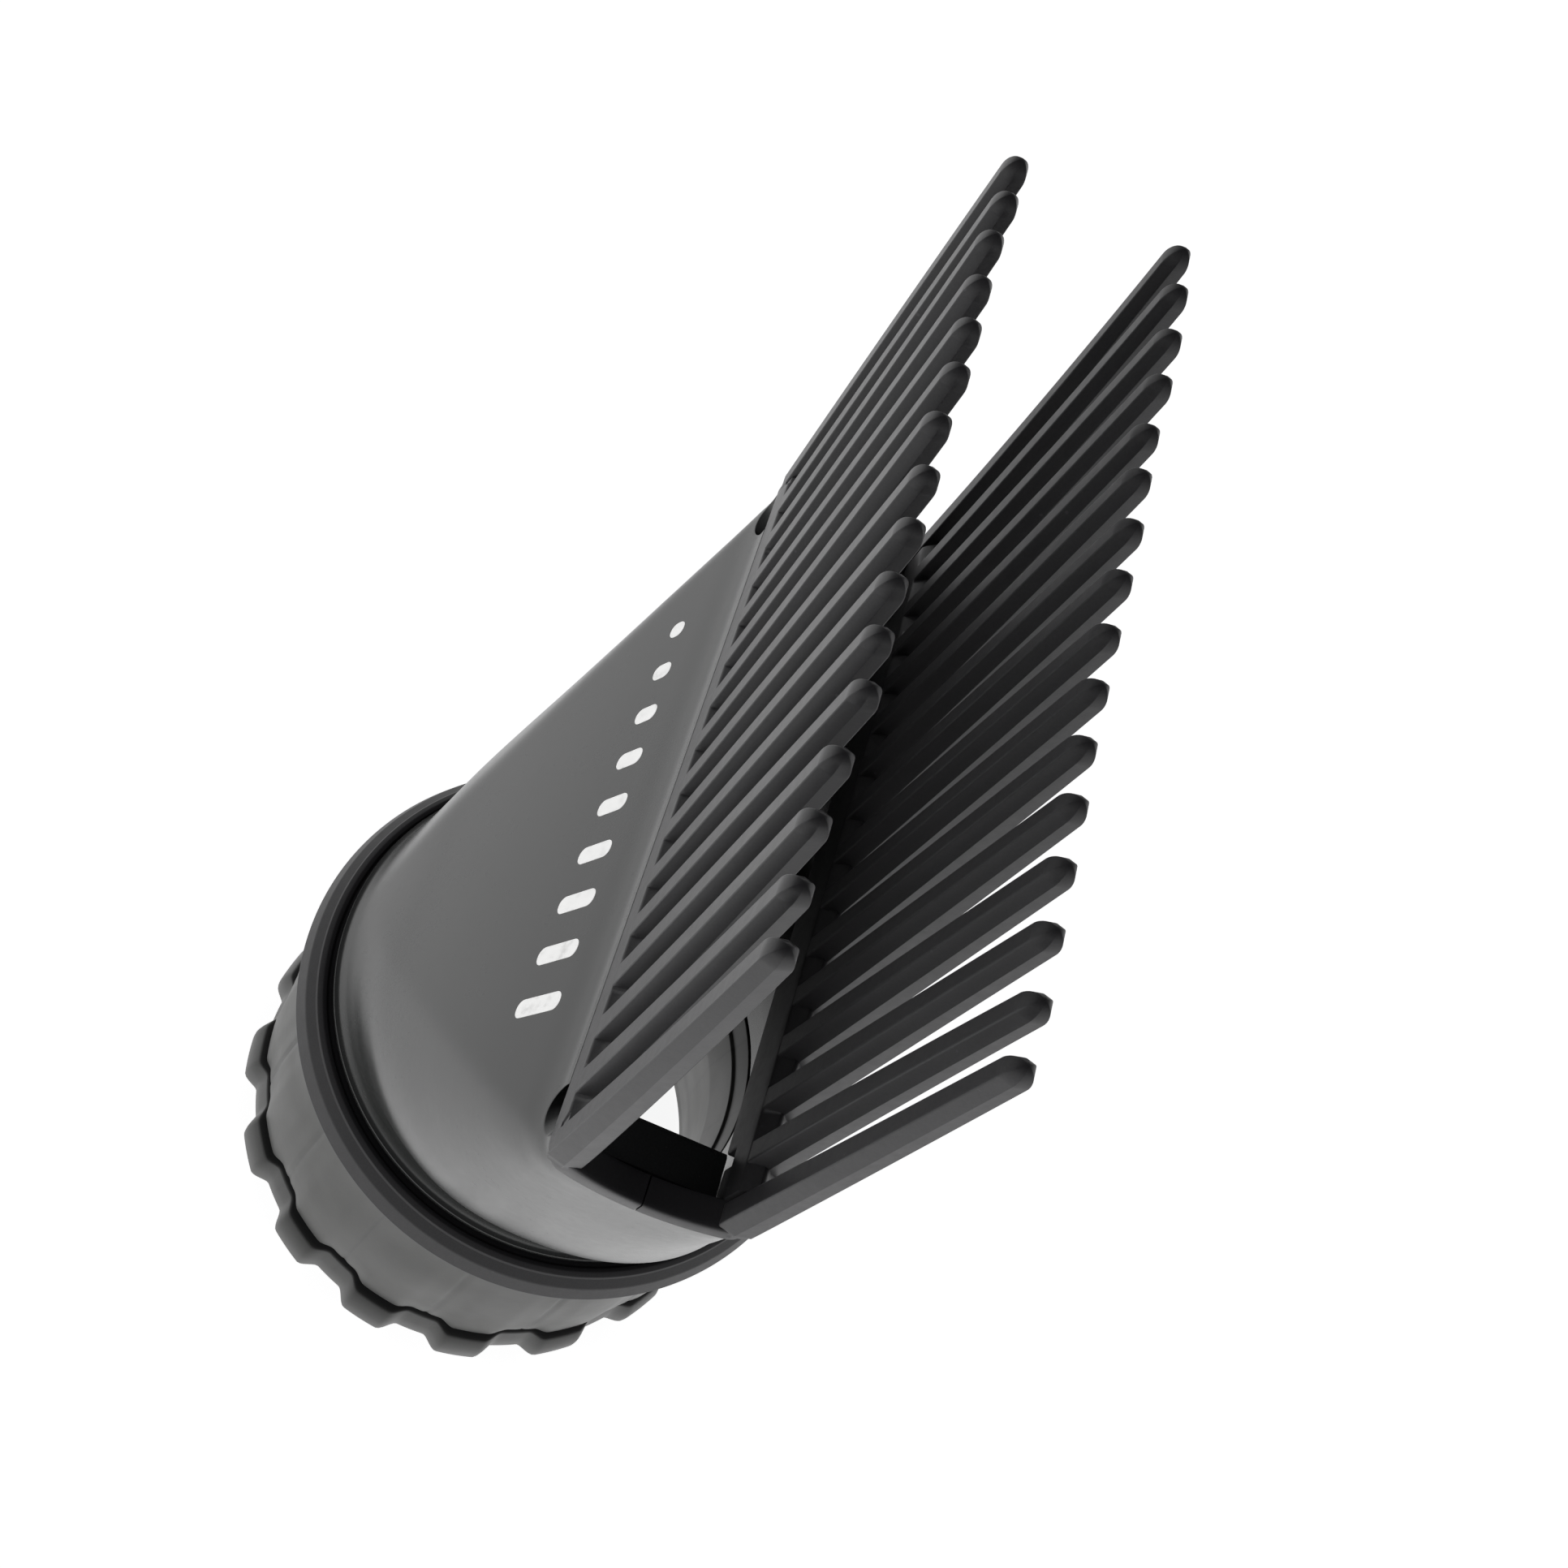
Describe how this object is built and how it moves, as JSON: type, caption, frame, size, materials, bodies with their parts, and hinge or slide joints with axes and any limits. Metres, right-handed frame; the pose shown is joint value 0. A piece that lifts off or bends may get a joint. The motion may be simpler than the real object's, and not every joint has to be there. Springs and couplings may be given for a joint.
{
  "type": "hair dryer comb nozzle",
  "caption": "Hair dryer comb nozzle: a grey funnel with two rows of long straight teeth, turning in a collar ring on a soft scalloped sleeve that grips the dryer barrel.",
  "frame": {"origin": "bottom centre of the sleeve lip, on the axis of the air way; the part stands on that lip with its teeth up", "axes": "+Z along the air flow from the dryer to the tooth tips; +X along the outlet's long side; -Y towards the front face, the side of the front comb"},
  "size_m": [0.0746, 0.0678, 0.1398],
  "materials": {
    "grey_plastic": "satin",
    "collar_plastic": "satin",
    "sleeve_rubber": "matte"
  },
  "bodies": {
    "collar": {"collar_ring": "collar_plastic", "adapter_sleeve": "sleeve_rubber"},
    "nozzle": {"nozzle_body": "grey_plastic", "front_comb": "grey_plastic", "rear_comb": "grey_plastic"}
  },
  "joints": [
    {"name": "nozzle_swivel", "type": "hinge", "parent": "collar", "child": "nozzle", "pos_m": [0, 0, 0.0413], "axis": [0, 0, 1], "continuous": true}
  ]
}
